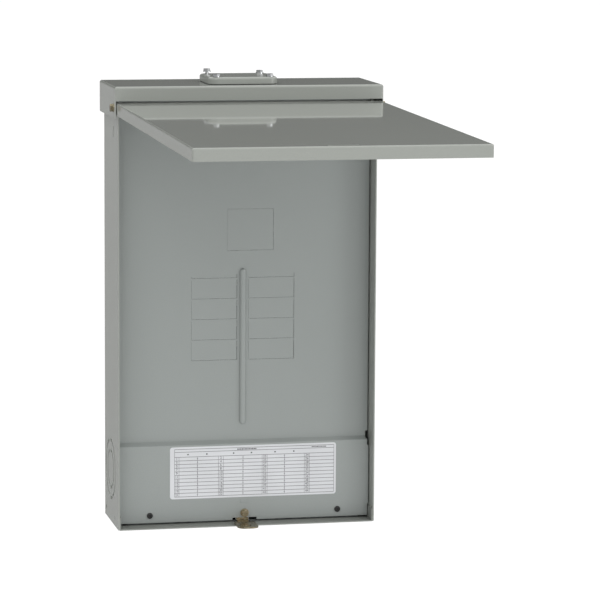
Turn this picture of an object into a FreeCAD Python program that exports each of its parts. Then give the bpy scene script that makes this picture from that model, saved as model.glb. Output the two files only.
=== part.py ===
import FreeCAD, Part
import Sketcher
import math
import os

# Raintight subpanel (load-centre) enclosure with a lift-up door, built as
# separate sheet-metal parts, hardware and an eight-space bus interior.
#
# Frame: +X to the right seen from the front, +Z up, the front faces -Y.
# Origin: centre of the flat back face that lies on the wall (plane Y = 0).
# "lift" helpers below turn heights above the box bottom into row heights and
# distances from the wall into -Y.

doc = FreeCAD.newDocument("subpanel_enclosure")
sheet = doc.addObject("Spreadsheet::Sheet", "Params")

PARAMS = [
    # box
    ("box_wide", 320.0), ("box_deep", 112.5), ("box_tall", 542.0),
    ("gauge", 1.5), ("thin_gauge", 1.2), ("centre_up", 271.6),
    ("bend_out", 2.6), ("bend_in", 1.1),
    # rain cap
    ("cap_half", 165.1), ("cap_front", 11.0), ("lip_drop", 17.2), ("ear_drop", 38.2),
    # door
    ("door_half", 163.0), ("door_reach", 526.0), ("door_tuck", 13.6),
    ("door_rise", 6.0), ("door_flange", 14.5), ("door_droop", 0.82),
    ("hinge_in", 2.0), ("hinge_up", 517.4), ("shoulder_rad", 3.10), ("hinge_gap", 0.08),
    # deadfront
    ("front_half", 157.8), ("upper_recess", 28.0), ("lower_recess", 21.2),
    ("step_up", 99.5), ("step_over", 103.8), ("front_top", 536.0), ("front_bottom", 4.0),
    ("pitch", 25.4), ("space_top", 305.0), ("left_a", -65.3), ("left_b", -8.3),
    ("right_a", 6.0), ("right_b", 63.2), ("slit", 0.26),
    # hub cover
    ("hub_x", -4.2), ("hub_in", 47.0), ("hub_half_x", 42.8), ("hub_half_y", 38.5),
    ("hub_bolt_x", 33.0), ("hub_bolt_y", 31.75), ("hub_tall", 8.2),
    # mounting holes in the back
    ("wall_x", 101.6), ("wall_z", 203.2), ("wall_hole", 3.55),
    # knockouts
    ("ko_in", 63.0), ("ko_up", 66.0), ("ko_big", 38.0), ("ko_small", 25.0), ("ko_gap", 1.1), ("ko_groove", 3.6), ("ko_deep", 1.1),
    # hasp
    ("hasp_out", 24.0), ("hasp_mid", -2.1), ("hasp_gauge", 1.9), ("padlock_rad", 4.4),
]
for i, (name, val) in enumerate(PARAMS):
    sheet.set("A%d" % (i + 1), name)
    sheet.set("B%d" % (i + 1), repr(val))
    sheet.setAlias("B%d" % (i + 1), name)
doc.recompute()


class Q:
    """A length that knows its value and the sheet expression that gives it."""
    def __init__(self, v, e=None):
        self.v = float(v)
        self.e = e if e is not None else repr(float(v))
        self.bound = e is not None

    def _mk(self, o, v, op):
        o = q(o)
        r = Q(v, "(%s %s %s)" % (self.e, op, o.e))
        r.bound = self.bound or o.bound
        return r

    def __add__(self, o): return self._mk(o, self.v + q(o).v, "+")
    def __sub__(self, o): return self._mk(o, self.v - q(o).v, "-")
    def __mul__(self, o): return self._mk(o, self.v * q(o).v, "*")
    def __truediv__(self, o): return self._mk(o, self.v / q(o).v, "/")
    def __radd__(self, o): return q(o) + self
    def __rsub__(self, o): return q(o) - self
    def __rmul__(self, o): return q(o) * self
    def __neg__(self): return q(0) - self


def q(x):
    return x if isinstance(x, Q) else Q(x)


def p(name):
    return Q(float(sheet.get(name)), "Params." + name)


T, TT = p("gauge"), p("thin_gauge")
HW, D, H = p("box_wide") / 2, p("box_deep"), p("box_tall")


def Z(h):
    """row height of a point h above the underside of the box"""
    return q(h) - p("centre_up")


def F(r):
    """distance from the wall of a point recessed r behind the box's front edges"""
    return D - q(r)


bodies = []


class Piece:
    """One PartDesign body: sketches on its origin planes and features on them."""
    def __init__(self, label):
        self.label = label
        self.body = doc.addObject("PartDesign::Body", "Body_" + label)
        self.body.Label = label
        self.body.AllowCompound = True
        self.n = 0
        self.vol = 0.0
        bodies.append(self)

    def plane(self, role):
        for o in self.body.Origin.OriginFeatures:
            if getattr(o, "Role", "") == role:
                return o
        raise RuntimeError("no plane " + role)

    def sketch(self, role, off=0.0):
        self.n += 1
        sk = self.body.newObject("Sketcher::SketchObject", "%s_sk%d" % (self.label, self.n))
        sk.AttachmentSupport = [(self.plane(role), "")]
        sk.MapMode = "FlatFace"
        off = q(off)
        sk.AttachmentOffset = FreeCAD.Placement(FreeCAD.Vector(0, 0, off.v), FreeCAD.Rotation())
        if off.bound:
            sk.setExpression("AttachmentOffset.Base.z", off.e)
        return sk

    def tip_volume(self):
        return self.body.Shape.Volume if not self.body.Shape.isNull() else 0.0

    def _length(self, f, prop, length):
        length = q(length)
        setattr(f, prop, length.v)
        if length.bound:
            f.setExpression(prop, length.e)

    def pad(self, sk, length, back=False, mid=False):
        self.n += 1
        f = self.body.newObject("PartDesign::Pad", "%s_pad%d" % (self.label, self.n))
        f.Profile = sk
        f.Refine = True
        self._length(f, "Length", length)
        f.Reversed = back
        if mid:
            f.SideType = "Symmetric"
        self.body.Tip = f
        doc.recompute()
        v = self.tip_volume()
        if not v > self.vol + 1e-6:
            raise RuntimeError("%s: pad %s added nothing (%.3f -> %.3f)" % (self.label, f.Name, self.vol, v))
        self.vol = v
        return f

    def pocket(self, sk, length, back=False, mid=True):
        self.n += 1
        f = self.body.newObject("PartDesign::Pocket", "%s_cut%d" % (self.label, self.n))
        f.Profile = sk
        f.Refine = True
        self._length(f, "Length", length)
        f.Reversed = back
        if mid:
            f.SideType = "Symmetric"
        self.body.Tip = f
        doc.recompute()
        v = self.tip_volume()
        if not v < self.vol - 1e-6:
            raise RuntimeError("%s: pocket %s cut nothing (%.3f -> %.3f)" % (self.label, f.Name, self.vol, v))
        self.vol = v
        return f

    def edges(self, pick):
        out = []
        for i, e in enumerate(self.body.Tip.Shape.Edges):
            if pick(e):
                out.append("Edge%d" % (i + 1))
        return out

    def fillet(self, pick, rad, chamfer=False):
        names = self.edges(pick)
        if not names:
            raise RuntimeError(self.label + ": no edges to round")
        self.n += 1
        tip = self.body.Tip
        kind = "PartDesign::Chamfer" if chamfer else "PartDesign::Fillet"
        f = self.body.newObject(kind, "%s_round%d" % (self.label, self.n))
        f.Base = (tip, names)
        self._length(f, "Size" if chamfer else "Radius", rad)
        self.body.Tip = f
        doc.recompute()
        if "Invalid" in f.State or "Error" in f.State or f.Shape.isNull() or not f.Shape.isValid():
            raise RuntimeError("%s: fillet failed %s" % (self.label, f.State))
        self.vol = self.tip_volume()
        return f


def bind(sk, c, val):
    if val.bound:
        sk.setExpression("Constraints[%d]" % c, val.e)


def point_at(sk, geo, pos, x, y):
    x, y = q(x), q(y)
    for kind, val in (("DistanceX", x), ("DistanceY", y)):
        c = sk.addConstraint(Sketcher.Constraint(kind, -1, 1, geo, pos, val.v))
        bind(sk, c, val)


def poly(sk, pts):
    pts = [(q(a), q(b)) for a, b in pts]
    n = len(pts)
    first = sk.GeometryCount
    for i in range(n):
        a, b = pts[i], pts[(i + 1) % n]
        sk.addGeometry(Part.LineSegment(FreeCAD.Vector(a[0].v, a[1].v, 0), FreeCAD.Vector(b[0].v, b[1].v, 0)), False)
    for i in range(n):
        sk.addConstraint(Sketcher.Constraint("Coincident", first + i, 2, first + (i + 1) % n, 1))
    for i in range(n):
        point_at(sk, first + i, 1, *pts[i])


def rect(sk, x0, y0, x1, y1):
    poly(sk, [(x0, y0), (x1, y0), (x1, y1), (x0, y1)])


def circle(sk, x, y, r):
    x, y, r = q(x), q(y), q(r)
    g = sk.addGeometry(Part.Circle(FreeCAD.Vector(x.v, y.v, 0), FreeCAD.Vector(0, 0, 1), r.v), False)
    point_at(sk, g, 3, x, y)
    c = sk.addConstraint(Sketcher.Constraint("Radius", g, r.v))
    bind(sk, c, r)


def hexagon(sk, x, y, flats, turn=0.0):
    rc = flats / 2.0 / math.cos(math.pi / 6)
    poly(sk, [(q(x) + rc * math.cos(math.radians(60 * k + turn)), q(y) + rc * math.sin(math.radians(60 * k + turn)))
              for k in range(6)])


def line_along(axis, fixed, tol=0.02):
    """edges that run along an axis, with the given coordinates on the others"""
    ax = "xyz".index(axis)

    def pick(e):
        if len(e.Vertexes) != 2:
            return False
        a, b = e.Vertexes[0].Point, e.Vertexes[1].Point
        d = [abs(a[i] - b[i]) for i in range(3)]
        if any(d[i] > tol for i in range(3) if i != ax) or d[ax] < 0.2:
            return False
        for f in fixed:
            if all(abs(a["xyz".index(k)] - q(v).v) < tol for k, v in f.items() if not k.endswith("range")):
                return True
        return False
    return pick


def circle_edges(axis, level, rad=None, tol=0.02):
    """full circles in a plane across an axis at the given level"""
    ax = "xyz".index(axis)

    def pick(e):
        c = e.Curve
        if not hasattr(c, "Radius") or not hasattr(c, "Center"):
            return False
        if rad is not None and abs(c.Radius - rad) > tol:
            return False
        bb = e.BoundBox
        lo = (bb.XMin, bb.YMin, bb.ZMin)[ax]
        hi = (bb.XMax, bb.YMax, bb.ZMax)[ax]
        return abs(lo - q(level).v) < tol and abs(hi - q(level).v) < tol
    return pick


def either(*picks):
    return lambda e: any(f(e) for f in picks)


# --------------------------------------------------------------------------
# enclosure_wrapper: back and both sides bent from one sheet
# --------------------------------------------------------------------------
w = Piece("enclosure_wrapper")
s = w.sketch("XY_Plane", Z(0))
poly(s, [(-HW, -D), (-HW, 0), (HW, 0), (HW, -D), (HW - T, -D), (HW - T, -T), (T - HW, -T), (T - HW, -D)])
w.pad(s, H)
w.fillet(line_along("z", [{"x": -HW, "y": 0}, {"x": HW, "y": 0}]), p("bend_out"))
w.fillet(line_along("z", [{"x": T - HW, "y": -T}, {"x": HW - T, "y": -T}]), p("bend_in"))
# rounded lower front corners of the sides
w.fillet(line_along("x", [{"y": -D, "z": Z(0)}]), 3.0)
# the upper front corners are cut away for the tucked edge of the door
s = w.sketch("YZ_Plane", 0)
rect(s, -D - 1, Z(508), 19 - D, Z(543))
w.pocket(s, 400)
# wall screw holes
s = w.sketch("XZ_Plane", T / 2)
for sx in (-1, 1):
    for sz in (-1, 1):
        circle(s, sx * p("wall_x"), sz * p("wall_z"), p("wall_hole"))
w.pocket(s, 6)
# concentric knockouts in both sides, then the ties that hold the slugs
for side in (-1, 1):
    s = w.sketch("YZ_Plane", side * HW)
    cy, cz = -F(p("ko_in")), Z(p("ko_up"))
    for r in (p("ko_big"), p("ko_small")):
        circle(s, cy, cz, r)
        circle(s, cy, cz, r - p("ko_groove"))
    w.pocket(s, p("ko_deep") * 2)
    s = w.sketch("YZ_Plane", side * (HW - T))
    for r, a, b in ((p("ko_big"), 2.0, 12.0), (p("ko_small"), 1.0, 9.0)):
        rect(s, cy + a, cz + r - 4.4, cy + b, cz + r + 0.3)
        rect(s, cy + a, cz - r - 0.3, cy + b, cz - r + 4.4)
    w.pad(s, T, back=(side < 0))
    # weep hole, weld dimple and the narrow slot below the cap
    s = w.sketch("YZ_Plane", side * (HW - T / 2))
    circle(s, -F(100), Z(10.5), 3.2)
    rect(s, -F(33.6), Z(480), -F(36.4), Z(492.6))
    w.pocket(s, 4)
    s = w.sketch("YZ_Plane", side * HW)
    circle(s, -F(32), Z(8.8), 2.6)
    w.pocket(s, 0.8)

# --------------------------------------------------------------------------
# bottom_endwall: floor tray welded between the sides
# --------------------------------------------------------------------------
b = Piece("bottom_endwall")
IN = HW - T
s = b.sketch("XY_Plane", Z(0))
rect(s, -IN, -D + 0.4, IN, -T)
b.pad(s, T)
s = b.sketch("XY_Plane", Z(T - 0.2))
rect(s, -IN, -D + 0.6, T - IN, -T)
rect(s, IN - T, -D + 0.6, IN, -T)
rect(s, -150, -T * 2, 150, -T)
b.pad(s, 15.3)
b.fillet(line_along("x", [{"y": -D + 0.6, "z": Z(16.6)}]), 3.0)
s = b.sketch("XY_Plane", Z(T / 2))
for sx in (-80, 80):
    for r in (22.0, 14.0):
        circle(s, sx, -55, r)
        circle(s, sx, -55, q(r) - p("ko_gap"))
b.pocket(s, 4)
s = b.sketch("XY_Plane", Z(0))
for sx in (-80, 80):
    for r in (22.0, 14.0):
        rect(s, sx - 3, -55 + r - 1.6, sx + 3, -55 + r + 0.3)
        rect(s, sx - 3, -55 - r - 0.3, sx + 3, -55 - r + 1.6)
b.pad(s, T)

# --------------------------------------------------------------------------
# top_endwall: roof tray under the cap, its front flange laps the deadfront
# --------------------------------------------------------------------------
t = Piece("top_endwall")
s = t.sketch("XY_Plane", Z(H - T))
rect(s, -IN, -F(26.3), IN, -T)
t.pad(s, T)
s = t.sketch("XY_Plane", Z(H - 15))
rect(s, -IN, -F(28.6), T - IN, -T)
rect(s, IN - T, -F(28.6), IN, -T)
rect(s, -150, -T * 2, 150, -T)
t.pad(s, 13.6)
s = t.sketch("XY_Plane", Z(H - 16))
rect(s, -IN, -F(26.3), IN, -F(27.8))
t.pad(s, 15.5)
t.fillet(line_along("x", [{"y": -F(26.3), "z": Z(H)}]), p("bend_out"))
s = t.sketch("XY_Plane", Z(H - T / 2))
circle(s, p("hub_x"), -F(p("hub_in")), 25)
for sx in (-1, 1):
    for sy in (-1, 1):
        circle(s, p("hub_x") + sx * p("hub_bolt_x"), -F(p("hub_in")) + sy * p("hub_bolt_y"), 2.2)
t.pocket(s, 6)

# --------------------------------------------------------------------------
# rain_cap: roof plate, front drip lip and the two side ears that carry the hinge
# --------------------------------------------------------------------------
c = Piece("rain_cap")
CH, CF = p("cap_half"), D + p("cap_front")
ROOF = H + TT
s = c.sketch("XY_Plane", Z(H))
rect(s, -CH, -CF, CH, 0)
c.pad(s, TT)
s = c.sketch("XZ_Plane", CF - TT)
rect(s, -CH, Z(ROOF - p("lip_drop")), CH, Z(H + 0.2))
c.pad(s, TT)
for side in (-1, 1):
    s = c.sketch("YZ_Plane", side * (CH - TT))
    rect(s, -CF, Z(ROOF - p("ear_drop")), 0, Z(H + 0.2))
    c.pad(s, TT, back=(side < 0))
c.fillet(line_along("z", [{"x": -CH, "y": -CF}, {"x": CH, "y": -CF}]), 3.1)
c.fillet(line_along("z", [{"x": TT - CH, "y": TT - CF}, {"x": CH - TT, "y": TT - CF}]), 1.9)


def roof_rim(e):
    bb = e.BoundBox
    top = Z(ROOF).v
    if abs(bb.ZMin - top) > 0.02 or abs(bb.ZMax - top) > 0.02:
        return False
    return bb.YMin < -0.5 and bb.YMax < -0.001 or abs(bb.XMin - bb.XMax) < 0.02


c.fillet(roof_rim, 2.9)
c.fillet(line_along("x", [{"y": -CF, "z": Z(ROOF - p("ear_drop"))}, {"y": 0, "z": Z(ROOF - p("ear_drop"))}]), 2.5)
s = c.sketch("XY_Plane", Z(H + TT / 2))
circle(s, p("hub_x"), -F(p("hub_in")), 25)
for sx in (-1, 1):
    for sy in (-1, 1):
        circle(s, p("hub_x") + sx * p("hub_bolt_x"), -F(p("hub_in")) + sy * p("hub_bolt_y"), 2.2)
c.pocket(s, 6)
HY, HZ = -F(p("hinge_in")), Z(p("hinge_up"))
s = c.sketch("YZ_Plane", 0)
circle(s, HY, HZ, p("shoulder_rad") + 0.1)
c.pocket(s, 400)

# --------------------------------------------------------------------------
# hub_gasket, hub_cover, hub_cover_screws: the blanked conduit opening on top
# --------------------------------------------------------------------------
HX, HYC = p("hub_x"), -F(p("hub_in"))
BX, BY = p("hub_bolt_x"), p("hub_bolt_y")
GK = 0.8
g = Piece("hub_gasket")
s = g.sketch("XY_Plane", Z(ROOF))
rect(s, HX - p("hub_half_x") + 0.6, HYC - p("hub_half_y") + 0.6, HX + p("hub_half_x") - 0.6, HYC + p("hub_half_y") - 0.6)
circle(s, HX, HYC, 26)
for sx in (-1, 1):
    for sy in (-1, 1):
        circle(s, HX + sx * BX, HYC + sy * BY, 2.7)
g.pad(s, GK)


def corners(x0, x1, y0, y1):
    return [{"x": a, "y": b_} for a in (x0, x1) for b_ in (y0, y1)]


g.fillet(line_along("z", corners(HX - p("hub_half_x") + 0.6, HX + p("hub_half_x") - 0.6,
                                 HYC - p("hub_half_y") + 0.6, HYC + p("hub_half_y") - 0.6)), 11.4)

h = Piece("hub_cover")
HB = ROOF + GK
s = h.sketch("XY_Plane", Z(HB))
rect(s, HX - p("hub_half_x"), HYC - p("hub_half_y"), HX + p("hub_half_x"), HYC + p("hub_half_y"))
h.pad(s, p("hub_tall"))
h.fillet(line_along("z", corners(HX - p("hub_half_x"), HX + p("hub_half_x"),
                                 HYC - p("hub_half_y"), HYC + p("hub_half_y"))), 12.0)
top_h = Z(HB + p("hub_tall")).v
h.fillet(lambda e: abs(e.BoundBox.ZMin - top_h) < 0.02 and abs(e.BoundBox.ZMax - top_h) < 0.02, 3.2)
s = h.sketch("XY_Plane", Z(HB))
k, cut = 2.4, 8.0
PX, PY = p("hub_half_x") - k, p("hub_half_y") - k
poly(s, [(HX - PX + cut, HYC - PY), (HX + PX - cut, HYC - PY), (HX + PX, HYC - PY + cut), (HX + PX, HYC + PY - cut),
         (HX + PX - cut, HYC + PY), (HX - PX + cut, HYC + PY), (HX - PX, HYC + PY - cut), (HX - PX, HYC - PY + cut)])
h.pocket(s, p("hub_tall") - 2.0, mid=False, back=True)
s = h.sketch("XY_Plane", Z(HB))
for sx in (-1, 1):
    for sy in (-1, 1):
        circle(s, HX + sx * BX, HYC + sy * BY, 5.5)
h.pad(s, p("hub_tall") - 1.0)
s = h.sketch("XY_Plane", Z(HB + 4))
for sx in (-1, 1):
    for sy in (-1, 1):
        circle(s, HX + sx * BX, HYC + sy * BY, 2.5)
h.pocket(s, 20)


def pan_screws(label, spots, seat, head_r, head_h, shank_r, shank_l, role="XY_Plane", drive="cross", dome=None):
    """A group of pan-head screws: seat is the level under the heads, which rise
    along the plane's normal, and the shanks run the other way."""
    pc = Piece(label)
    s_ = pc.sketch(role, seat)
    for x_, y_ in spots:
        circle(s_, x_, y_, head_r)
    pc.pad(s_, head_h)
    s_ = pc.sketch(role, seat)
    for x_, y_ in spots:
        circle(s_, x_, y_, shank_r)
    pc.pad(s_, shank_l, back=True)
    ax = {"XY_Plane": "z", "XZ_Plane": "y", "YZ_Plane": "x"}[role]
    sign = -1 if role == "XZ_Plane" else 1
    pc.fillet(circle_edges(ax, sign * (q(seat) + head_h), head_r), dome if dome else min(head_h * 0.72, head_r * 0.5))
    arm = head_r * 0.52
    wide = max(0.45, head_r * 0.14)
    s_ = pc.sketch(role, q(seat) + head_h)
    for x_, y_ in spots:
        if drive == "cross":
            x_, y_ = q(x_), q(y_)
            poly(s_, [(x_ - arm, y_ - wide), (x_ - wide, y_ - wide), (x_ - wide, y_ - arm), (x_ + wide, y_ - arm),
                      (x_ + wide, y_ - wide), (x_ + arm, y_ - wide), (x_ + arm, y_ + wide), (x_ + wide, y_ + wide),
                      (x_ + wide, y_ + arm), (x_ - wide, y_ + arm), (x_ - wide, y_ + wide), (x_ - arm, y_ + wide)])
        else:
            rect(s_, q(x_) - head_r * 1.2, q(y_) - wide, q(x_) + head_r * 1.2, q(y_) + wide)
    pc.pocket(s_, head_h * 1.1)
    return pc




def hex_screws(label, spots, flange_r, flange_t, flats, head_h, shank_r, shank_l, role="XY_Plane"):
    """Slotted hexagon heads on a washer flange; each spot is (x, y, seat level)."""
    pc = Piece(label)
    for x_, y_, seat in spots:
        s_ = pc.sketch(role, seat)
        circle(s_, x_, y_, flange_r)
        pc.pad(s_, flange_t)
        s_ = pc.sketch(role, q(seat) + flange_t * 0.9)
        hexagon(s_, x_, y_, flats, 30)
        pc.pad(s_, head_h - flange_t * 0.9)
        s_ = pc.sketch(role, seat)
        circle(s_, x_, y_, shank_r)
        pc.pad(s_, shank_l, back=True)
    for x_, y_, seat in spots:
        s_ = pc.sketch(role, q(seat) + head_h)
        rect(s_, q(x_) - flats * 0.62, q(y_) - 0.55, q(x_) + flats * 0.62, q(y_) + 0.55)
        pc.pocket(s_, head_h * 0.8)
    return pc


# the rear left screw stands a little proud of the cover
hex_screws("hub_cover_screws",
           [(HX + sx * BX, HYC + sy * BY, Z(HB + p("hub_tall") + (2.4 if (sx, sy) == (-1, 1) else 0.0)))
            for sx in (-1, 1) for sy in (-1, 1)], 4.8, 1.0, 7.6, 3.6, 2.0, 13.4)

# --------------------------------------------------------------------------
# door: a shallow pan; modelled about its own hinge axis with the outer face up
# and the free edge towards -Y, then placed on the axis at its resting angle
# --------------------------------------------------------------------------
d = Piece("door")
DH, DR, RISE = p("door_half"), p("door_reach"), p("door_rise")
s = d.sketch("XY_Plane", RISE - TT)
rect(s, -DH, -DR, DH, p("door_tuck"))
d.pad(s, TT)
s = d.sketch("XY_Plane", RISE - p("door_flange"))
poly(s, [(-DH, 9), (-DH, -DR), (DH, -DR), (DH, 9), (DH - TT, 9), (DH - TT, TT - DR), (TT - DH, TT - DR), (TT - DH, 9)])
d.pad(s, p("door_flange") - TT + 0.2)
d.fillet(line_along("z", [{"x": -DH, "y": -DR}, {"x": DH, "y": -DR}]), 2.2)
d.fillet(line_along("z", [{"x": TT - DH, "y": TT - DR}, {"x": DH - TT, "y": TT - DR}]), 1.0)


def door_rim(e):
    bb = e.BoundBox
    if abs(bb.ZMin - RISE.v) > 0.02 or abs(bb.ZMax - RISE.v) > 0.02:
        return False
    return not (bb.YMin > p("door_tuck").v - 0.05)


d.fillet(door_rim, 1.9)
# rounded rear corners of the plate and of the flanges
d.fillet(line_along("x", [{"y": 9, "z": RISE - p("door_flange")}]), 3.0)
s = d.sketch("YZ_Plane", 0)
circle(s, 0, 0, p("shoulder_rad") + p("hinge_gap"))
d.pocket(s, 400)
s = d.sketch("XY_Plane", RISE - TT / 2)
rect(s, -16, -518.2, 18, -512.4)
d.pocket(s, 4)
d.body.Placement = FreeCAD.Placement(FreeCAD.Vector(0, HY.v, HZ.v),
                                     FreeCAD.Rotation(FreeCAD.Vector(1, 0, 0), p("door_droop").v))
d.body.setExpression("Placement.Base.y", HY.e)
d.body.setExpression("Placement.Base.z", HZ.e)
d.body.setExpression("Placement.Rotation.Angle", "Params.door_droop * 1 deg")

# --------------------------------------------------------------------------
# hinge_screws and hinge_nuts: shoulder screws through the ears and the door
# --------------------------------------------------------------------------
hs = Piece("hinge_screws")
for side in (-1, 1):
    s = hs.sketch("YZ_Plane", side * CH)
    circle(s, HY, HZ, 5.0)
    hs.pad(s, 1.0, back=(side < 0))
    s = hs.sketch("YZ_Plane", side * (CH + 0.9))
    hexagon(s, HY, HZ, 8.0, 30)
    hs.pad(s, 3.4, back=(side < 0))
    s = hs.sketch("YZ_Plane", side * CH)
    circle(s, HY, HZ, p("shoulder_rad"))
    hs.pad(s, 4.5, back=(side > 0))
    s = hs.sketch("YZ_Plane", side * (CH - 4.4))
    circle(s, HY, HZ, 2.0)
    hs.pad(s, 6.2, back=(side > 0))
hn = Piece("hinge_nuts")
for side in (-1, 1):
    s = hn.sketch("YZ_Plane", side * (CH - 4.5))
    hexagon(s, HY, HZ, 7.4, 30)
    circle(s, HY, HZ, 2.05)
    hn.pad(s, 3.2, back=(side > 0))

# --------------------------------------------------------------------------
# deadfront: joggled cover sheet with lanced breaker twistouts and a raised rib
# --------------------------------------------------------------------------
f = Piece("deadfront")
FH, R1, R2 = p("front_half"), p("upper_recess"), p("lower_recess")
YU, YL = -F(R1), -F(R2)
s = f.sketch("YZ_Plane", 0)
poly(s, [(YU, Z(p("front_top"))), (YU, Z(p("step_over"))), (YL, Z(p("step_up"))), (YL, Z(p("front_bottom"))),
         (YL + TT, Z(p("front_bottom"))), (YL + TT, Z(p("step_up") - 0.7)), (YU + TT, Z(p("step_over") - 0.7)),
         (YU + TT, Z(p("front_top")))])
f.pad(s, FH * 2, mid=True)
f.fillet(line_along("x", [{"y": YL, "z": Z(p("step_up"))}, {"y": YU, "z": Z(p("step_over"))}]), 1.6)
s = f.sketch("XZ_Plane", F(R1) - TT - 9)
rect(s, -FH, Z(113), TT - FH, Z(526))
rect(s, FH - TT, Z(113), FH, Z(526))
f.pad(s, 9.3)
s = f.sketch("XZ_Plane", F(R2) - TT - 9)
rect(s, -FH, Z(21), TT - FH, Z(90))
rect(s, FH - TT, Z(21), FH, Z(90))
f.pad(s, 9.3)
f.fillet(line_along("z", [{"x": -FH, "y": YU}, {"x": FH, "y": YU}, {"x": -FH, "y": YL}, {"x": FH, "y": YL}]), 1.1)
# relief notches at the joggle, clearance round the tray's side flanges, hasp notch
s = f.sketch("XZ_Plane", F(R1))
for side in (-1, 1):
    poly(s, [(side * 154.4, Z(109.5)), (side * 159.5, Z(109.5)), (side * 159.5, Z(92.4)), (side * 155.6, Z(92.4)),
             (side * 155.6, Z(100.5)), (side * 154.4, Z(100.5))])
    poly(s, [(side * 156.1, Z(2)), (side * 159.5, Z(2)), (side * 159.5, Z(18.4)), (side * 156.1, Z(18.4))])
rect(s, -14.6, Z(2), 15.7, Z(6.8))
for x_, z_ in ((-118.0, 13.0), (118.0, 13.0), (0.5, 12.6)):
    circle(s, x_, Z(z_), 2.3)
f.pocket(s, 60)
# breaker twistouts: the slits run along the foot and both sides of each space
s = f.sketch("XZ_Plane", F(R1) - TT / 2)
SL = p("slit")
for xa, xb in ((p("left_a"), p("left_b")), (p("right_a"), p("right_b"))):
    for k in range(5):
        zt = Z(p("space_top") - k * p("pitch"))
        if k < 4:
            zb_ = Z(p("space_top") - (k + 1) * p("pitch"))
            # foot slit joined to a thin left slit and a wider right slit
            poly(s, [(xa, zt - 2.6), (xa, zb_ - SL / 2), (xb, zb_ - SL / 2), (xb, zt - 2.2), (xb - 0.45, zt - 2.2),
                     (xb - 0.5, zb_ + SL / 2), (xa + 0.18, zb_ + SL / 2), (xa + 0.18, zt - 2.6)])
        else:
            zt = Z(p("space_top"))
            poly(s, [(xa, zt + 1.6), (xa, zt - SL / 2), (xb, zt - SL / 2), (xb, zt + 4.6), (xb - 0.4, zt + 4.6),
                     (xb - 0.45, zt + SL / 2), (xa + 0.18, zt + SL / 2), (xa + 0.18, zt + 1.6)])
# main twistout above the branch spaces
poly(s, [(-20.3, Z(361)), (-20.3, Z(338.6)), (37.0, Z(338.6)), (37.0, Z(361)), (36.7, Z(361)), (36.7, Z(338.85)),
         (-20.15, Z(338.85)), (-20.15, Z(361))])
poly(s, [(-20.3, Z(364)), (-20.15, Z(364)), (-20.15, Z(389.6)), (36.7, Z(389.6)), (36.7, Z(364)), (37.0, Z(364)),
         (37.0, Z(389.75)), (-20.3, Z(389.75))])
f.pocket(s, 5)
# raised rib between the columns
s = f.sketch("XZ_Plane", F(R1) - 0.3)
rect(s, -5.1, Z(122.7), 2.7, Z(316.5))
f.pad(s, 3.4)
rib = [{"x": a, "z": z_} for a in (-5.1, 2.7) for z_ in (Z(122.7), Z(316.5))]
f.fillet(line_along("y", rib), 3.7)
rib_top = -(F(R1).v + 3.1)
f.fillet(lambda e: abs(e.BoundBox.YMin - rib_top) < 0.02 and abs(e.BoundBox.YMax - rib_top) < 0.02, 3.0)
s = f.sketch("XZ_Plane", F(R1) - TT)
rect(s, -2.8, Z(125), 0.4, Z(314))
f.pocket(s, 2.6, mid=False, back=True)
# small lanced catch and pilot above the centre screw
s = f.sketch("XZ_Plane", F(R2))
poly(s, [(-5, Z(29.4)), (-5, Z(25)), (5, Z(25)), (5, Z(29.4)), (4.5, Z(29.4)), (4.5, Z(25.6)), (-4.5, Z(25.6)), (-4.5, Z(29.4))])
circle(s, 0.5, Z(19.6), 1.1)
f.pocket(s, 0.6)

# circuit_label: directory card stuck to the lower panel
lb = Piece("circuit_label")
s = lb.sketch("XZ_Plane", F(R2))
rect(s, -93, Z(32.4), 116, Z(97.4))
lb.pad(s, 0.2)
lb.fillet(line_along("y", [{"x": a, "z": z_} for a in (-93, 116) for z_ in (Z(32.4), Z(97.4))]), 3.2)

# --------------------------------------------------------------------------
# deadfront_rail, screws and the padlock hasp
# --------------------------------------------------------------------------
r = Piece("deadfront_rail")
s = r.sketch("YZ_Plane", 0)
poly(s, [(-66, Z(T)), (-88.0, Z(T)), (-88.0, Z(26)), (-86.6, Z(26)), (-86.6, Z(T + 1.4)), (-66, Z(T + 1.4))])
r.pad(s, 290, mid=True)
r.fillet(line_along("x", [{"y": -88.0, "z": Z(T)}]), 2.0)
s = r.sketch("XZ_Plane", 87.3)
for x_, z_ in ((-118.0, 13.0), (118.0, 13.0), (0.5, 12.6)):
    circle(s, x_, Z(z_), 2.1)
rect(s, -16.5, Z(3.2), -10.2, Z(9.5))
rect(s, 6.6, Z(3.2), 17.5, Z(9.5))
r.pocket(s, 5)

pan_screws("deadfront_screws", [(-118.0, Z(13.0)), (118.0, Z(13.0))], F(R2), 3.7, 2.2, 1.95, 9.0, role="XZ_Plane")
hex_screws("centre_screw", [(0.5, Z(12.6), F(R2))], 5.3, 1.1, 7.4, 3.9, 1.95, 11.0, role="XZ_Plane")

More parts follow.
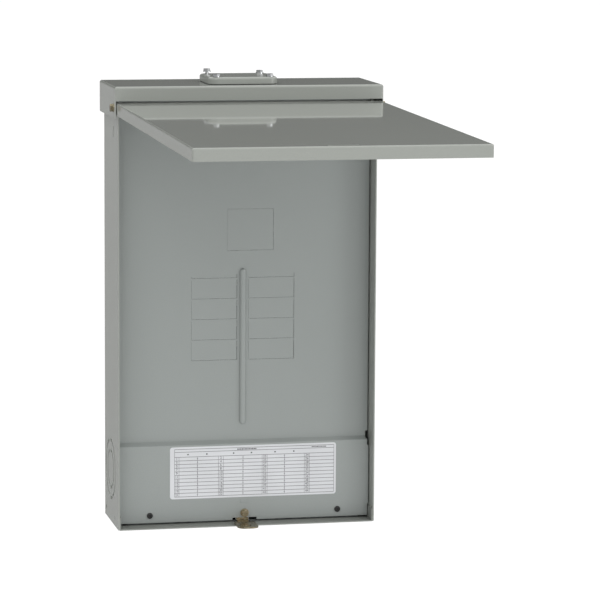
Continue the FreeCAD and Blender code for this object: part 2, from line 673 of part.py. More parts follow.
hp = Piece("padlock_hasp")
HG, HM = p("hasp_gauge"), p("hasp_mid")
NOSE = -(D + p("hasp_out"))
s = hp.sketch("XY_Plane", Z(1.7))
rect(s, HM - 13, NOSE, HM + 13, -101)
hp.pad(s, HG)
hp.fillet(line_along("z", [{"x": HM - 13, "y": NOSE}, {"x": HM + 13, "y": NOSE}]), 9.5)
hp.fillet(line_along("z", [{"x": HM - 13, "y": -101}, {"x": HM + 13, "y": -101}]), 3.0)
s = hp.sketch("XY_Plane", Z(1.7))
rect(s, HM - 7.2, -103, HM + 7.8, -88.1)
hp.pad(s, HG)
s = hp.sketch("XY_Plane", Z(1.7))
rect(s, HM - 7.2, -90.0, HM + 7.8, -88.1)
hp.pad(s, 20.6)
hp.fillet(line_along("x", [{"y": -88.1, "z": Z(1.7)}]), 2.6)
hp.fillet(line_along("x", [{"y": -90.0, "z": Z(1.7) + HG}]), 0.8)
s = hp.sketch("XY_Plane", Z(2.6))
circle(s, HM, -(D + p("hasp_out") - 10.5), p("padlock_rad"))
hp.pocket(s, 6)
s = hp.sketch("XZ_Plane", 89.0)
circle(s, 0.5, Z(12.6), 2.1)
hp.pocket(s, 5)

# --------------------------------------------------------------------------
# interior: mounting pan, insulating base, buses, stabs, lugs, neutral, ground
# --------------------------------------------------------------------------
pn = Piece("interior_pan")
s = pn.sketch("XZ_Plane", 12.0)
rect(s, -80, Z(170), 80, Z(430))
pn.pad(s, 1.4)
s = pn.sketch("XZ_Plane", T)
rect(s, -80, Z(170), -78.6, Z(430))
rect(s, 78.6, Z(170), 80, Z(430))
pn.pad(s, F(0) - F(0) + 10.7)
s = pn.sketch("XZ_Plane", T)
for z0, z1 in ((178, 198), (402, 422)):
    rect(s, -94, Z(z0), -79.4, Z(z1))
    rect(s, 79.4, Z(z0), 94, Z(z1))
pn.pad(s, 1.4)
s = pn.sketch("XZ_Plane", T + 0.7)
feet = [(sx * 87.5, Z(z_)) for sx in (-1, 1) for z_ in (188, 412)]
for x_, z_ in feet:
    circle(s, x_, z_, 2.4)
pn.pocket(s, 5)
s = pn.sketch("XZ_Plane", 12.7)
circle(s, 66.0, Z(184), 2.4)
pn.pocket(s, 3)
pan_screws("pan_screws", feet, T + 1.4, 4.2, 2.4, 2.2, 1.3, role="XZ_Plane")

for nm, sx in (("breaker_rail_left", -1), ("breaker_rail_right", 1)):
    rl = Piece(nm)
    s = rl.sketch("XZ_Plane", 13.4)
    rect(s, min(sx * 68.0, sx * 76.0), Z(190), max(sx * 68.0, sx * 76.0), Z(318))
    rl.pad(s, 1.4)
    s = rl.sketch("XZ_Plane", 14.6)
    rect(s, min(sx * 74.6, sx * 76.0), Z(190), max(sx * 74.6, sx * 76.0), Z(318))
    rl.pad(s, 24)
    s = rl.sketch("XZ_Plane", 37.2)
    for k in range(4):
        zc = Z(p("space_top") - (k + 0.5) * p("pitch"))
        rect(s, min(sx * 68.5, sx * 75.2), zc - 4, max(sx * 68.5, sx * 75.2), zc + 4)
    rl.pad(s, 1.4)

ib = Piece("insulator_base")
s = ib.sketch("XZ_Plane", 13.4)
rect(s, -30, Z(182), 28, Z(424))
ib.pad(s, 16)
s = ib.sketch("XZ_Plane", 29.4)
rect(s, -22, Z(188), -5.4, Z(420))
rect(s, 3.0, Z(188), 20, Z(420))
ib.pocket(s, 6)
s = ib.sketch("XZ_Plane", 29.2)
for k in range(5):
    zc = Z(p("space_top") - k * p("pitch"))
    rect(s, -30, zc - 1.2, -23.4, zc + 1.2)
    rect(s, 21.4, zc - 1.2, 28, zc + 1.2)
ib.pad(s, 10)

bars = []
for nm, x0, x1 in (("bus_bar_left", -20.4, -6.6), ("bus_bar_right", 4.2, 18.4)):
    bb_ = Piece(nm)
    s = bb_.sketch("XZ_Plane", 26.4)
    rect(s, x0, Z(192), x1, Z(416))
    bb_.pad(s, 4.8)
    bars.append(bb_)
st = Piece("bus_stabs")
s = st.sketch("XZ_Plane", 31.2)
for k in range(4):
    zc = Z(p("space_top") - (k + 0.5) * p("pitch"))
    x0, x1 = ((-20.0, -7.0) if k % 2 == 0 else (4.8, 18.0))
    rect(s, x0, zc - 7, x1, zc + 7)
st.pad(s, 2.6)
s = st.sketch("XZ_Plane", 33.6)
for k in range(4):
    zc = Z(p("space_top") - (k + 0.5) * p("pitch"))
    x0, x1 = ((-20.0, 12.0) if k % 2 == 0 else (-14.0, 18.0))
    rect(s, x0, zc - 1.6, x1, zc + 1.6)
st.pad(s, 17)

lg = Piece("main_lugs")
s = lg.sketch("XZ_Plane", 31.2)
rect(s, -23, Z(390), -4, Z(414))
rect(s, 2.4, Z(390), 21.4, Z(414))
lg.pad(s, 22)
s = lg.sketch("XY_Plane", Z(402))
circle(s, -13.5, -44.0, 6.5)
circle(s, 11.9, -44.0, 6.5)
lg.pocket(s, 60)
s = lg.sketch("XZ_Plane", 52.0)
circle(s, -13.5, Z(402), 5.0)
circle(s, 11.9, Z(402), 5.0)
lg.pocket(s, 9)
ls = Piece("lug_set_screws")
s = ls.sketch("XZ_Plane", 48.8)
circle(s, -13.5, Z(402), 4.9)
circle(s, 11.9, Z(402), 4.9)
ls.pad(s, 7)
s = ls.sketch("XZ_Plane", 55.8)
hexagon(s, -13.5, Z(402), 4.8)
hexagon(s, 11.9, Z(402), 4.8)
ls.pocket(s, 6)

for nm, sx in (("neutral_bar_left", -1), ("neutral_bar_right", 1)):
    nb = Piece(nm)
    x0, x1 = sorted((sx * 44.0, sx * 54.0))
    s = nb.sketch("XZ_Plane", 25.4)
    rect(s, x0, Z(196), x1, Z(392))
    nb.pad(s, 11)
    s = nb.sketch("YZ_Plane", sx * 49.0)
    for k in range(15):
        circle(s, -30.4, Z(209 + 12.0 * k), 2.6)
    nb.pocket(s, 30)
so = Piece("neutral_standoffs")
s = so.sketch("XZ_Plane", 13.4)
for sx in (-1, 1):
    for z_ in (200, 376):
        rect(s, sx * 49 - 6, Z(z_), sx * 49 + 6, Z(z_ + 12))
so.pad(s, 12)
ns = Piece("neutral_bar_screws")
s = ns.sketch("XZ_Plane", 36.4)
for sx in (-1, 1):
    for k in range(15):
        circle(s, sx * 49, Z(209 + 12.0 * k), 3.4)
ns.pad(s, 2.4)
s = ns.sketch("XZ_Plane", 39.4)
for sx in (-1, 1):
    for k in range(15):
        rect(s, sx * 49 - 4.4, Z(209 + 12.0 * k - 0.5), sx * 49 + 4.4, Z(209 + 12.0 * k + 0.5))
ns.pocket(s, 3.4)
cs = Piece("neutral_cross_strap")
s = cs.sketch("XZ_Plane", 17.4)
rect(s, -54, Z(174), 54, Z(181))
cs.pad(s, 2.4)
s = cs.sketch("XZ_Plane", 17.4)
rect(s, -54, Z(174), -44, Z(195.9))
rect(s, 44, Z(174), 54, Z(195.9))
cs.pad(s, 8.0)
s = cs.sketch("XZ_Plane", 25.3)
rect(s, -54, Z(184), -44, Z(196.0))
rect(s, 44, Z(184), 54, Z(196.0))
cs.pad(s, 11.0)
nl = Piece("neutral_lug")
s = nl.sketch("XZ_Plane", 36.4)
rect(s, 42, Z(168), 56, Z(190))
nl.pad(s, 18)
s = nl.sketch("XY_Plane", Z(179))
circle(s, 49, -46.4, 5.4)
nl.pocket(s, 60)
s = nl.sketch("XZ_Plane", 53.4)
circle(s, 49, Z(179), 4.2)
nl.pocket(s, 4)
pan_screws("neutral_lug_screw", [(49, Z(179))], 54.4, 5.0, 2.6, 4.1, 2.6, role="XZ_Plane", drive="slot")

gb = Piece("ground_bar")
s = gb.sketch("XZ_Plane", T)
rect(s, -140, Z(196), -130, Z(300))
gb.pad(s, 12)
s = gb.sketch("YZ_Plane", -135.0)
for k in range(9):
    circle(s, -(T + 6.6), Z(204 + 11.0 * k), 2.5)
gb.pocket(s, 30)
s = gb.sketch("XZ_Plane", T + 10.0)
for k in range(9):
    circle(s, -135.0, Z(204 + 11.0 * k), 2.3)
gb.pocket(s, 7)
pan_screws("ground_bar_screws", [(-135.0, Z(204 + 11.0 * k)) for k in range(9)], T + 12.0, 3.3, 2.2, 1.9, 3.4,
           role="XZ_Plane", drive="slot")
pan_screws("bonding_screw", [(66.0, Z(184))], 13.4, 4.0, 2.6, 2.0, 1.2, role="XZ_Plane", drive="slot")

# --------------------------------------------------------------------------
# checks, then one STEP file per piece
# --------------------------------------------------------------------------
doc.recompute()
bad = []
for o in doc.Objects:
    if "Invalid" in o.State or "Error" in o.State:
        bad.append((o.Name, o.State))
for pc in bodies:
    sh_ = pc.body.Shape
    if sh_.isNull() or not sh_.isValid() or sh_.Volume <= 0:
        bad.append((pc.label, "shape"))
if bad:
    raise RuntimeError("failed objects: %r" % bad)

os.makedirs("parts", exist_ok=True)
for pc in bodies:
    sh_ = pc.body.Shape
    sh_.exportStep("parts/%s.step" % pc.label)
    bb = sh_.BoundBox
    print("%-22s solids %2d vol %9.0f  x %.1f..%.1f y %.1f..%.1f z %.1f..%.1f" % (
        pc.label, len(sh_.Solids), sh_.Volume, bb.XMin, bb.XMax, bb.YMin, bb.YMax, bb.ZMin, bb.ZMax))
print("pieces", len(bodies))
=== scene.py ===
import bpy, bmesh, math
from mathutils import Vector, Matrix


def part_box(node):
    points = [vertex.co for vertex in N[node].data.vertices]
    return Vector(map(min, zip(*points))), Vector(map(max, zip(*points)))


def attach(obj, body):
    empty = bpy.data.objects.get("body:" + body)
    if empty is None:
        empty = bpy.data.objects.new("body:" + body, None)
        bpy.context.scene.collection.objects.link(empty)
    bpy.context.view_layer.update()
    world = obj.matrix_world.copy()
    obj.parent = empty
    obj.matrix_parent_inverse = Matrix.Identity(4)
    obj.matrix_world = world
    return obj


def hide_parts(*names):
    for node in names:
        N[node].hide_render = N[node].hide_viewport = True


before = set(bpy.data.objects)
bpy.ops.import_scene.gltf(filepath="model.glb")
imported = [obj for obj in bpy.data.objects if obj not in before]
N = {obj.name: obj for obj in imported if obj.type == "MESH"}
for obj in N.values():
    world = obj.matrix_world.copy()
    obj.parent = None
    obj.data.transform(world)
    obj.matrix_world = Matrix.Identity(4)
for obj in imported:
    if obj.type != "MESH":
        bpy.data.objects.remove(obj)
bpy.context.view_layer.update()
scene = bpy.context.scene

# ---------------------------------------------------------------- camera
YAW, PITCH, ROLL = 0.21070782, 0.13735296, 0.00570364
CAM = Vector((-0.753468, -3.937686, 0.548574))
LENS = 3227.393 / 600.0 * 36.0


def make_camera():
    cy, sy = math.cos(YAW), math.sin(YAW)
    cp, sp = math.cos(PITCH), math.sin(PITCH)
    fwd = Vector((sy * cp, cy * cp, -sp))
    right = Vector((cy, -sy, 0.0))
    up = right.cross(fwd)
    cr, sr = math.cos(ROLL), math.sin(ROLL)
    r = cr * right + sr * up
    u = -sr * right + cr * up
    m = Matrix(((r.x, u.x, -fwd.x, CAM.x), (r.y, u.y, -fwd.y, CAM.y), (r.z, u.z, -fwd.z, CAM.z), (0, 0, 0, 1)))
    cam = bpy.data.cameras.new("camera")
    cam.sensor_width = 36.0
    cam.sensor_fit = "HORIZONTAL"
    cam.lens = LENS
    cam.clip_start = 0.05
    cam.clip_end = 60.0
    ob = bpy.data.objects.new("camera", cam)
    scene.collection.objects.link(ob)
    ob.matrix_world = m
    scene.camera = ob
    return ob


make_camera()


# ---------------------------------------------------------------- node helpers
class Mat:
    def __init__(self, name):
        self.m = bpy.data.materials.new(name)
        self.m.use_nodes = True
        self.t = self.m.node_tree
        self.b = next(n for n in self.t.nodes if n.type == "BSDF_PRINCIPLED")
        self.x = -300

    def node(self, kind, **props):
        n = self.t.nodes.new(kind)
        self.x -= 40
        n.location = (self.x, 0)
        for k, v in props.items():
            setattr(n, k, v)
        return n

    def link(self, a, b):
        self.t.links.new(a, b)

    def coords(self):
        return self.node("ShaderNodeTexCoord").outputs["Object"]

    def scaled(self, vec, scale=(1, 1, 1), rot=(0, 0, 0)):
        n = self.node("ShaderNodeMapping")
        n.inputs["Scale"].default_value = scale
        n.inputs["Rotation"].default_value = rot
        self.link(vec, n.inputs["Vector"])
        return n.outputs["Vector"]

    def noise(self, vec, scale, detail=3.0, rough=0.5, dist=0.0):
        n = self.node("ShaderNodeTexNoise")
        n.inputs["Scale"].default_value = scale
        n.inputs["Detail"].default_value = detail
        n.inputs["Roughness"].default_value = rough
        n.inputs["Distortion"].default_value = dist
        self.link(vec, n.inputs["Vector"])
        return n.outputs["Fac"]

    def voronoi(self, vec, scale, feature="F1", out="Distance"):
        n = self.node("ShaderNodeTexVoronoi", feature=feature)
        n.inputs["Scale"].default_value = scale
        self.link(vec, n.inputs["Vector"])
        return n.outputs[out]

    def ramp(self, fac, stops, mode="LINEAR"):
        n = self.node("ShaderNodeValToRGB")
        n.color_ramp.interpolation = mode
        els = n.color_ramp.elements
        while len(els) < len(stops):
            els.new(0.5)
        for e, (pos, col) in zip(els, stops):
            e.position = pos
            e.color = (*col, 1.0) if len(col) == 3 else col
        self.link(fac, n.inputs["Fac"])
        return n.outputs["Color"]

    def to_range(self, fac, lo, hi, flo=0.0, fhi=1.0):
        n = self.node("ShaderNodeMapRange")
        n.inputs["From Min"].default_value = flo
        n.inputs["From Max"].default_value = fhi
        n.inputs["To Min"].default_value = lo
        n.inputs["To Max"].default_value = hi
        self.link(fac, n.inputs["Value"])
        return n.outputs["Result"]

    def math(self, op, a, b=None):
        n = self.node("ShaderNodeMath", operation=op)
        for i, v in enumerate((a, b)):
            if v is None:
                continue
            if isinstance(v, (int, float)):
                n.inputs[i].default_value = v
            else:
                self.link(v, n.inputs[i])
        return n.outputs[0]

    def mix(self, fac, a, b, mode="MIX"):
        n = self.node("ShaderNodeMix", data_type="RGBA", blend_type=mode)
        if isinstance(fac, (int, float)):
            n.inputs[0].default_value = fac
        else:
            self.link(fac, n.inputs[0])
        for i, v in ((6, a), (7, b)):
            if isinstance(v, tuple):
                n.inputs[i].default_value = (*v, 1.0)
            else:
                self.link(v, n.inputs[i])
        return n.outputs[2]

    def bump(self, height, strength, distance, normal=None):
        n = self.node("ShaderNodeBump")
        n.inputs["Strength"].default_value = strength
        n.inputs["Distance"].default_value = distance
        self.link(height, n.inputs["Height"])
        if normal is not None:
            self.link(normal, n.inputs["Normal"])
        return n.outputs["Normal"]

    def set(self, **kw):
        names = {"color": "Base Color", "metal": "Metallic", "rough": "Roughness", "ior": "IOR", "coat": "Coat Weight",
                 "coat_rough": "Coat Roughness", "spec": "Specular IOR Level", "normal": "Normal", "aniso": "Anisotropic"}
        for k, v in kw.items():
            s = self.b.inputs[names[k]]
            if isinstance(v, (int, float)):
                s.default_value = v
            elif isinstance(v, tuple):
                s.default_value = (*v, 1.0)
            else:
                self.link(v, s)
        return self


def srgb(r, g, b):
    def f(c):
        c /= 255.0
        return c / 12.92 if c <= 0.04045 else ((c + 0.055) / 1.055) ** 2.4
    return (f(r), f(g), f(b))


def paint(name, base, vary=0.012, rough=(0.16, 0.24), peel=0.5):
    """baked powder paint: slow tone drift, a fine orange-peel skin and speckle"""
    m = Mat(name)
    co = m.coords()
    big = m.noise(co, 6.0, 4.0, 0.55)
    fine = m.noise(co, 900.0, 2.0, 0.5)
    dark = tuple(c * (1 - vary) for c in base)
    light = tuple(min(1.0, c * (1 + vary)) for c in base)
    tone = m.mix(m.to_range(big, 0.0, 1.0, 0.3, 0.7), dark, light)
    speck = m.to_range(fine, 0.975, 1.025, 0.3, 0.7)
    n = m.node("ShaderNodeVectorMath", operation="SCALE")
    m.link(tone, n.inputs[0])
    m.link(speck, n.inputs["Scale"])
    peel_a = m.noise(co, 420.0, 2.0, 0.45)
    peel_b = m.noise(co, 60.0, 2.0, 0.5)
    hgt = m.math("ADD", peel_a, m.math("MULTIPLY", peel_b, 0.6))
    m.set(color=n.outputs[0], rough=m.to_range(m.noise(co, 500.0, 2.0), rough[0], rough[1], 0.3, 0.7),
          normal=m.bump(hgt, peel, 0.00001), ior=1.5)
    return m.m


def plated(name, cols, rough=(0.2, 0.34), scale=180.0, bump=0.25, metal=1.0):
    m = Mat(name)
    co = m.coords()
    tint = m.noise(co, scale, 4.0, 0.6, 0.4)
    col = m.ramp(tint, [(0.28 + 0.44 * i / (len(cols) - 1), c) for i, c in enumerate(cols)])
    scr = m.noise(m.scaled(co, (1, 1, 14)), 600.0, 3.0, 0.6)
    m.set(color=col, metal=metal, rough=m.to_range(scr, rough[0], rough[1], 0.3, 0.7), normal=m.bump(scr, bump, 0.00003))
    return m.m


def spangle(name, base):
    m = Mat(name)
    co = m.coords()
    cell = m.voronoi(co, 130.0, out="Color")
    sep = m.node("ShaderNodeSeparateColor")
    m.link(cell, sep.inputs[0])
    lo = tuple(c * 0.82 for c in base)
    hi = tuple(min(1, c * 1.12) for c in base)
    col = m.mix(sep.outputs[0], lo, hi)
    m.set(color=col, metal=1.0, rough=m.to_range(sep.outputs[1], 0.28, 0.46), normal=m.bump(m.noise(co, 500.0), 0.2, 0.00003))
    return m.m


def brushed(name, base, along="z"):
    m = Mat(name)
    co = m.coords()
    sc = {"z": (1, 1, 0.03), "x": (0.03, 1, 1)}[along]
    streak = m.noise(m.scaled(co, sc), 1500.0, 3.0, 0.6)
    lo = tuple(c * 0.88 for c in base)
    col = m.mix(streak, lo, base)
    m.set(color=col, metal=1.0, rough=m.to_range(streak, 0.24, 0.42), normal=m.bump(streak, 0.2, 0.00003))
    return m.m


def plastic(name, base, rough=(0.42, 0.56), grain=700.0):
    m = Mat(name)
    co = m.coords()
    g = m.noise(co, grain, 2.0)
    col = m.mix(m.noise(co, 14.0, 3.0), tuple(c * 0.85 for c in base), tuple(min(1, c * 1.15) for c in base))
    m.set(color=col, rough=m.to_range(g, rough[0], rough[1], 0.3, 0.7), normal=m.bump(g, 0.35, 0.00006))
    return m.m


GREY = (0.300, 0.314, 0.290)
M = {
    "grey": paint("paint_grey", GREY, rough=(0.12, 0.17)),
    "grey_cap": paint("paint_grey_cap", GREY, rough=(0.06, 0.085), peel=0.1),
    # bottom tray: the same grey paint darkened to 0.74 as painted shade, standing in for the shade the deadfront and
    # open door cast on it
    "grey_tray_painted_shade": paint("paint_grey_tray", tuple(c * 0.74 for c in GREY), rough=(0.45, 0.53)),
    "grey_door": paint("paint_grey_door", GREY, rough=(0.035, 0.05), peel=0.06),
    "grey_front": paint("paint_grey_deadfront", (0.294, 0.316, 0.306), rough=(0.16, 0.22)),
    "zinc": plated("zinc_bright", [(0.50, 0.51, 0.53), (0.68, 0.69, 0.70), (0.58, 0.59, 0.61)], rough=(0.09, 0.16), bump=0.15),
    "yellow": plated("zinc_yellow", [(0.20, 0.15, 0.09), (0.44, 0.37, 0.24), (0.30, 0.22, 0.15), (0.24, 0.25, 0.16), (0.56, 0.48, 0.36),
                                     (0.34, 0.26, 0.22)], rough=(0.14, 0.30), scale=420.0, bump=0.4),
    "black": plated("oxide_black", [(0.018, 0.018, 0.018), (0.035, 0.035, 0.034)], rough=(0.34, 0.5), metal=0.3),
    "galv": spangle("galvanised", (0.56, 0.58, 0.59)),
    "alu": brushed("tinned_bar", (0.72, 0.72, 0.70)),
    "plastic": plastic("moulding_black", (0.030, 0.031, 0.034)),
    "rubber": plastic("gasket_rubber", (0.022, 0.022, 0.022), rough=(0.7, 0.85), grain=400.0),
    "green": plated("screw_green", [(0.03, 0.16, 0.06), (0.05, 0.26, 0.10)], rough=(0.3, 0.45), metal=0.5),
    "card": plastic("label_film", (0.64, 0.65, 0.67), rough=(0.38, 0.5), grain=1200.0),
    "ink": plastic("label_ink", (0.13, 0.13, 0.14), rough=(0.5, 0.6), grain=900.0),
    "ink_dark": plastic("label_ink_dark", (0.04, 0.04, 0.045), rough=(0.5, 0.6), grain=900.0),
}
USE = {
    "enclosure_wrapper": "grey", "bottom_endwall": "grey_tray_painted_shade", "top_endwall": "grey", "rain_cap": "grey_cap", "hub_cover": "grey",
    "door": "grey_door", "deadfront": "grey_front", "hub_gasket": "rubber", "hub_cover_screws": "zinc", "hinge_screws": "yellow",
    "hinge_nuts": "zinc", "circuit_label": "card", "deadfront_rail": "galv", "deadfront_screws": "black", "centre_screw": "yellow",
    "padlock_hasp": "yellow", "interior_pan": "galv", "pan_screws": "zinc", "breaker_rail_left": "galv", "breaker_rail_right": "galv",
    "insulator_base": "plastic", "bus_bar_left": "alu", "bus_bar_right": "alu", "bus_stabs": "alu", "main_lugs": "alu",
    "lug_set_screws": "zinc", "neutral_bar_left": "alu", "neutral_bar_right": "alu", "neutral_standoffs": "plastic",
    "neutral_bar_screws": "zinc", "neutral_cross_strap": "alu", "neutral_lug": "alu", "neutral_lug_screw": "zinc",
    "ground_bar": "alu", "ground_bar_screws": "zinc", "bonding_screw": "green",
}
for name, ob in N.items():
    mat = M[USE[name]]
    if not ob.material_slots:
        ob.data.materials.append(mat)
    for sl in ob.material_slots:
        sl.material = mat


# ---------------------------------------------------------------- new pieces
def link_mesh(name, bm, mat, smooth=False):
    me = bpy.data.meshes.new(name)
    bm.normal_update()
    bm.to_mesh(me)
    bm.free()
    ob = bpy.data.objects.new(name, me)
    scene.collection.objects.link(ob)
    me.materials.append(mat)
    for pl in me.polygons:
        pl.use_smooth = smooth
    return ob


def rounded_outline(x0, x1, z0, z1, r, seg=8):
    pts = []
    for cx, cz, a0 in ((x1 - r, z1 - r, 0), (x0 + r, z1 - r, 90), (x0 + r, z0 + r, 180), (x1 - r, z0 + r, 270)):
        for i in range(seg + 1):
            a = math.radians(a0 + 90.0 * i / seg)
            pts.append((cx + r * math.cos(a), cz + r * math.sin(a)))
    return pts


def slab(bm, outline, y_back, y_front):
    """closed prism of an x-z outline between two y levels (front is the smaller y)"""
    back = [bm.verts.new((x, y_back, z)) for x, z in outline]
    front = [bm.verts.new((x, y_front, z)) for x, z in outline]
    n = len(outline)
    for i in range(n):
        j = (i + 1) % n
        bm.faces.new((back[i], back[j], front[j], front[i]))
    bm.faces.new(front)
    bm.faces.new(list(reversed(back)))


(lx0, ly0, lz0), (lx1, ly1, lz1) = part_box("circuit_label")
CARD_FRONT = ly1 + (ly0 - ly1) * 0.80      # ly0 is the front (more negative)
bm = bmesh.new()
slab(bm, rounded_outline(lx0 + 0.0001, lx1 - 0.0001, lz0 + 0.0001, lz1 - 0.0001, 0.0032), ly1, CARD_FRONT)
bmesh.ops.recalc_face_normals(bm, faces=bm.faces)
card = link_mesh("directory_card", bm, M["card"])
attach(card, "enclosure")
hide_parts("circuit_label")

INK_FRONT = ly0 + 0.000004
X = lambda mm: mm / 1000.0
ZT = lz1                                     # label's top edge


def bar(bm, x0, x1, z0, z1):
    slab(bm, [(x1, z1), (x0, z1), (x0, z0), (x1, z0)], CARD_FRONT + 0.000004, INK_FRONT)


rows = [12.6 + 4.51 * i for i in range(12)]
bm = bmesh.new()
LW = 0.00056
left, right = X(-87.3), X(113.2)
bar(bm, left, right, ZT - 0.0064 - LW / 2, ZT - 0.0064 + LW / 2)
bar(bm, left, right, ZT - 0.0029 - LW / 2, ZT - 0.0029 + LW / 2)
for r_ in rows:
    z = ZT - r_ / 1000.0
    bar(bm, left, right, z - LW / 2, z + LW / 2)
zb, zt = ZT - rows[-1] / 1000.0, ZT - 0.0029
for xv, w, top in ((-87.3, 0.4, zt), (113.2, 0.4, zt), (-81.7, 0.35, ZT - 0.0126), (-32.4, 0.35, ZT - 0.0126), (-26.3, 0.35, ZT - 0.0126),
                   (22.5, 0.35, ZT - 0.0126), (28.9, 0.35, ZT - 0.0126), (75.9, 0.35, ZT - 0.0126), (82.3, 0.35, ZT - 0.0126)):
    bar(bm, X(xv - w / 2), X(xv + w / 2), zb, top)
for xv in (-58.6, -1.6, 50.7):
    bar(bm, X(xv - 0.2), X(xv + 0.2), zb, ZT - 0.0126)
    for r_ in rows[:-1]:
        zc = ZT - (r_ + 2.25) / 1000.0
        bar(bm, X(xv - 0.75), X(xv - 0.2), zc - 0.0003, zc + 0.0003)
        bar(bm, X(xv + 0.2), X(xv + 0.75), zc - 0.0003, zc + 0.0003)
bmesh.ops.recalc_face_normals(bm, faces=bm.faces)
rules = link_mesh("directory_rules", bm, M["ink"])
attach(rules, "enclosure")

# header marks and blocks where a printed heading would be
bm = bmesh.new()
for xv in (-70.5, -47.0, -13.4, 9.0, 38.7, 62.4):
    bar(bm, X(xv - 0.9), X(xv + 0.9), ZT - 0.0103, ZT - 0.0087)
x = -8.8
for wd in (1.6, 1.0, 1.4, 1.5, 1.2, 1.3, 1.6, 0.9, 1.5, 1.1, 1.7, 1.2, 1.4):
    bar(bm, X(x), X(x + wd), ZT - 0.0055, ZT - 0.0040)
    x += wd + 0.55
x = 85.0
for wd in (1.4, 1.1, 1.5, 0.9, 1.6, 1.2, 1.0, 1.5, 1.1, 1.3, 1.2):
    bar(bm, X(x), X(x + wd), ZT - 0.0052, ZT - 0.0041)
    x += wd + 0.45
bmesh.ops.recalc_face_normals(bm, faces=bm.faces)
heads = link_mesh("directory_heading_blocks", bm, M["ink_dark"])
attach(heads, "enclosure")


def number_mesh(entries, name, mat):
    """flat numerals: entries of (text, x centre, z centre, height)"""
    whole = bmesh.new()
    for text, cx, cz, size in entries:
        cu = bpy.data.curves.new("t", "FONT")
        cu.body = text
        cu.size = 1.0
        cu.align_x = "CENTER"
        cu.align_y = "CENTER"
        cu.extrude = abs(INK_FRONT - CARD_FRONT) * 0.4 / size
        tmp = bpy.data.objects.new("t", cu)
        scene.collection.objects.link(tmp)
        dg = bpy.context.evaluated_depsgraph_get()
        me = bpy.data.meshes.new_from_object(tmp.evaluated_get(dg))
        rot = Matrix.Translation((cx, (CARD_FRONT + INK_FRONT) / 2, cz)) @ Matrix.Rotation(math.radians(90), 4, "X") @ Matrix.Scale(size, 4)
        me.transform(rot)
        whole.from_mesh(me)
        bpy.data.objects.remove(tmp)
        bpy.data.curves.remove(cu)
        bpy.data.meshes.remove(me)
    bmesh.ops.remove_doubles(whole, verts=whole.verts, dist=1e-7)
    ob = link_mesh(name, whole, mat)
    return ob


ent = []
for col, (xa, xb) in enumerate(((-87.3, -81.7), (-32.4, -26.3), (22.5, 28.9), (75.9, 82.3))):
    for k in range(11):
        num = 1 + 2 * k + (col % 2) + 22 * (col // 2)
        ent.append((str(num), X((xa + xb) / 2), ZT - (rows[k] + 2.25) / 1000.0, 0.0043))
nums = number_mesh(ent, "directory_numbers", M["ink_dark"])
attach(nums, "enclosure")

# ---------------------------------------------------------------- light
# strengths of the parts of a plain light tent: overhead, low front-left and
# front-right, the darker back above and below the horizon, the back's right
# end, two soft boxes, and the glow of the pale floor
TENT = {"up": 1.39, "fl": 0.42, "fr": 0.80, "bh": 0.06, "bl": 0.375, "br": 0.10, "key": 12.4, "side": 14.0, "floor": 0.0}


# a pale floor well below the wall-hung box, out to the horizon
bm = bmesh.new()
bmesh.ops.create_grid(bm, x_segments=40, y_segments=40, size=90.0)
for v in bm.verts:
    v.co.z -= 1.6
fm = Mat("floor_pale")
co = fm.coords()
fm.set(color=fm.mix(fm.noise(co, 3.0), (0.86, 0.86, 0.86), (0.90, 0.90, 0.90)), rough=fm.to_range(fm.noise(co, 8.0), 0.85, 0.95))
fm.b.inputs["Emission Color"].default_value = (1, 1, 1, 1)
fm.b.inputs["Emission Strength"].default_value = TENT["floor"]
floor = link_mesh("floor", bm, fm.m)
floor.visible_glossy = False

world = bpy.data.worlds.new("studio")
scene.world = world
world.use_nodes = True
wt = world.node_tree
for n in list(wt.nodes):
    wt.nodes.remove(n)
out = wt.nodes.new("ShaderNodeOutputWorld")
bg = wt.nodes.new("ShaderNodeBackground")
tc = wt.nodes.new("ShaderNodeTexCoord")
sep_w = wt.nodes.new("ShaderNodeSeparateXYZ")
wt.links.new(tc.outputs["Generated"], sep_w.inputs[0])


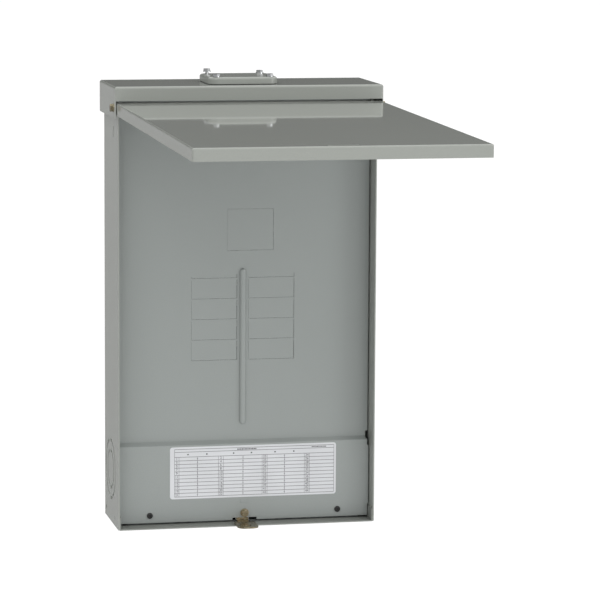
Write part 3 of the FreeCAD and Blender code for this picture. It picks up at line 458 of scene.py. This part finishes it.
def w_step(sock, lo, hi):
    n = wt.nodes.new("ShaderNodeMapRange")
    n.interpolation_type = "SMOOTHSTEP"
    n.inputs["From Min"].default_value = min(lo, hi)
    n.inputs["From Max"].default_value = max(lo, hi)
    n.inputs["To Min"].default_value = 0.0 if lo < hi else 1.0
    n.inputs["To Max"].default_value = 1.0 if lo < hi else 0.0
    wt.links.new(sock, n.inputs["Value"])
    return n.outputs["Result"]


def w_mix(fac, a, b):
    n = wt.nodes.new("ShaderNodeMix")
    n.data_type = "FLOAT"
    wt.links.new(fac, n.inputs[0])
    for i, v in ((2, a), (3, b)):
        if isinstance(v, float):
            n.inputs[i].default_value = v
        else:
            wt.links.new(v, n.inputs[i])
    return n.outputs[0]


upward = w_step(sep_w.outputs["Z"], 0.16, 0.62)
to_back = w_step(sep_w.outputs["Y"], -0.30, 0.30)
to_right = w_step(sep_w.outputs["X"], -0.45, 0.45)
above = w_step(sep_w.outputs["Z"], -0.03, 0.02)
far_right = w_step(sep_w.outputs["X"], 0.18, 0.42)
behind = w_mix(above, TENT["bl"], w_mix(far_right, TENT["bh"], TENT["br"]))
low = w_mix(to_back, w_mix(to_right, TENT["fl"], TENT["fr"]), behind)
wt.links.new(w_mix(upward, low, TENT["up"]), bg.inputs["Strength"])
bg.inputs["Color"].default_value = (1.0, 1.0, 1.0, 1)
wt.links.new(bg.outputs[0], out.inputs["Surface"])


def area(name, loc, aim, size, power, color=(1, 1, 1)):
    li = bpy.data.lights.new(name, "AREA")
    li.shape = "RECTANGLE"
    li.size, li.size_y = size
    li.energy = power
    li.color = color
    ob = bpy.data.objects.new(name, li)
    scene.collection.objects.link(ob)
    ob.location = loc
    ob.rotation_euler = (Vector(aim) - Vector(loc)).to_track_quat("-Z", "Y").to_euler()
    return ob


area("key", (-0.9, -2.6, 2.3), (0, -0.1, 0.0), (1.5, 1.2), TENT["key"])
area("side", (2.6, -1.9, 0.7), (0, -0.1, 0.0), (0.9, 1.6), TENT["side"])

scene.view_settings.view_transform = "Standard"
scene.view_settings.look = "None"
scene.view_settings.exposure = 0.0
scene.view_settings.gamma = 1.0
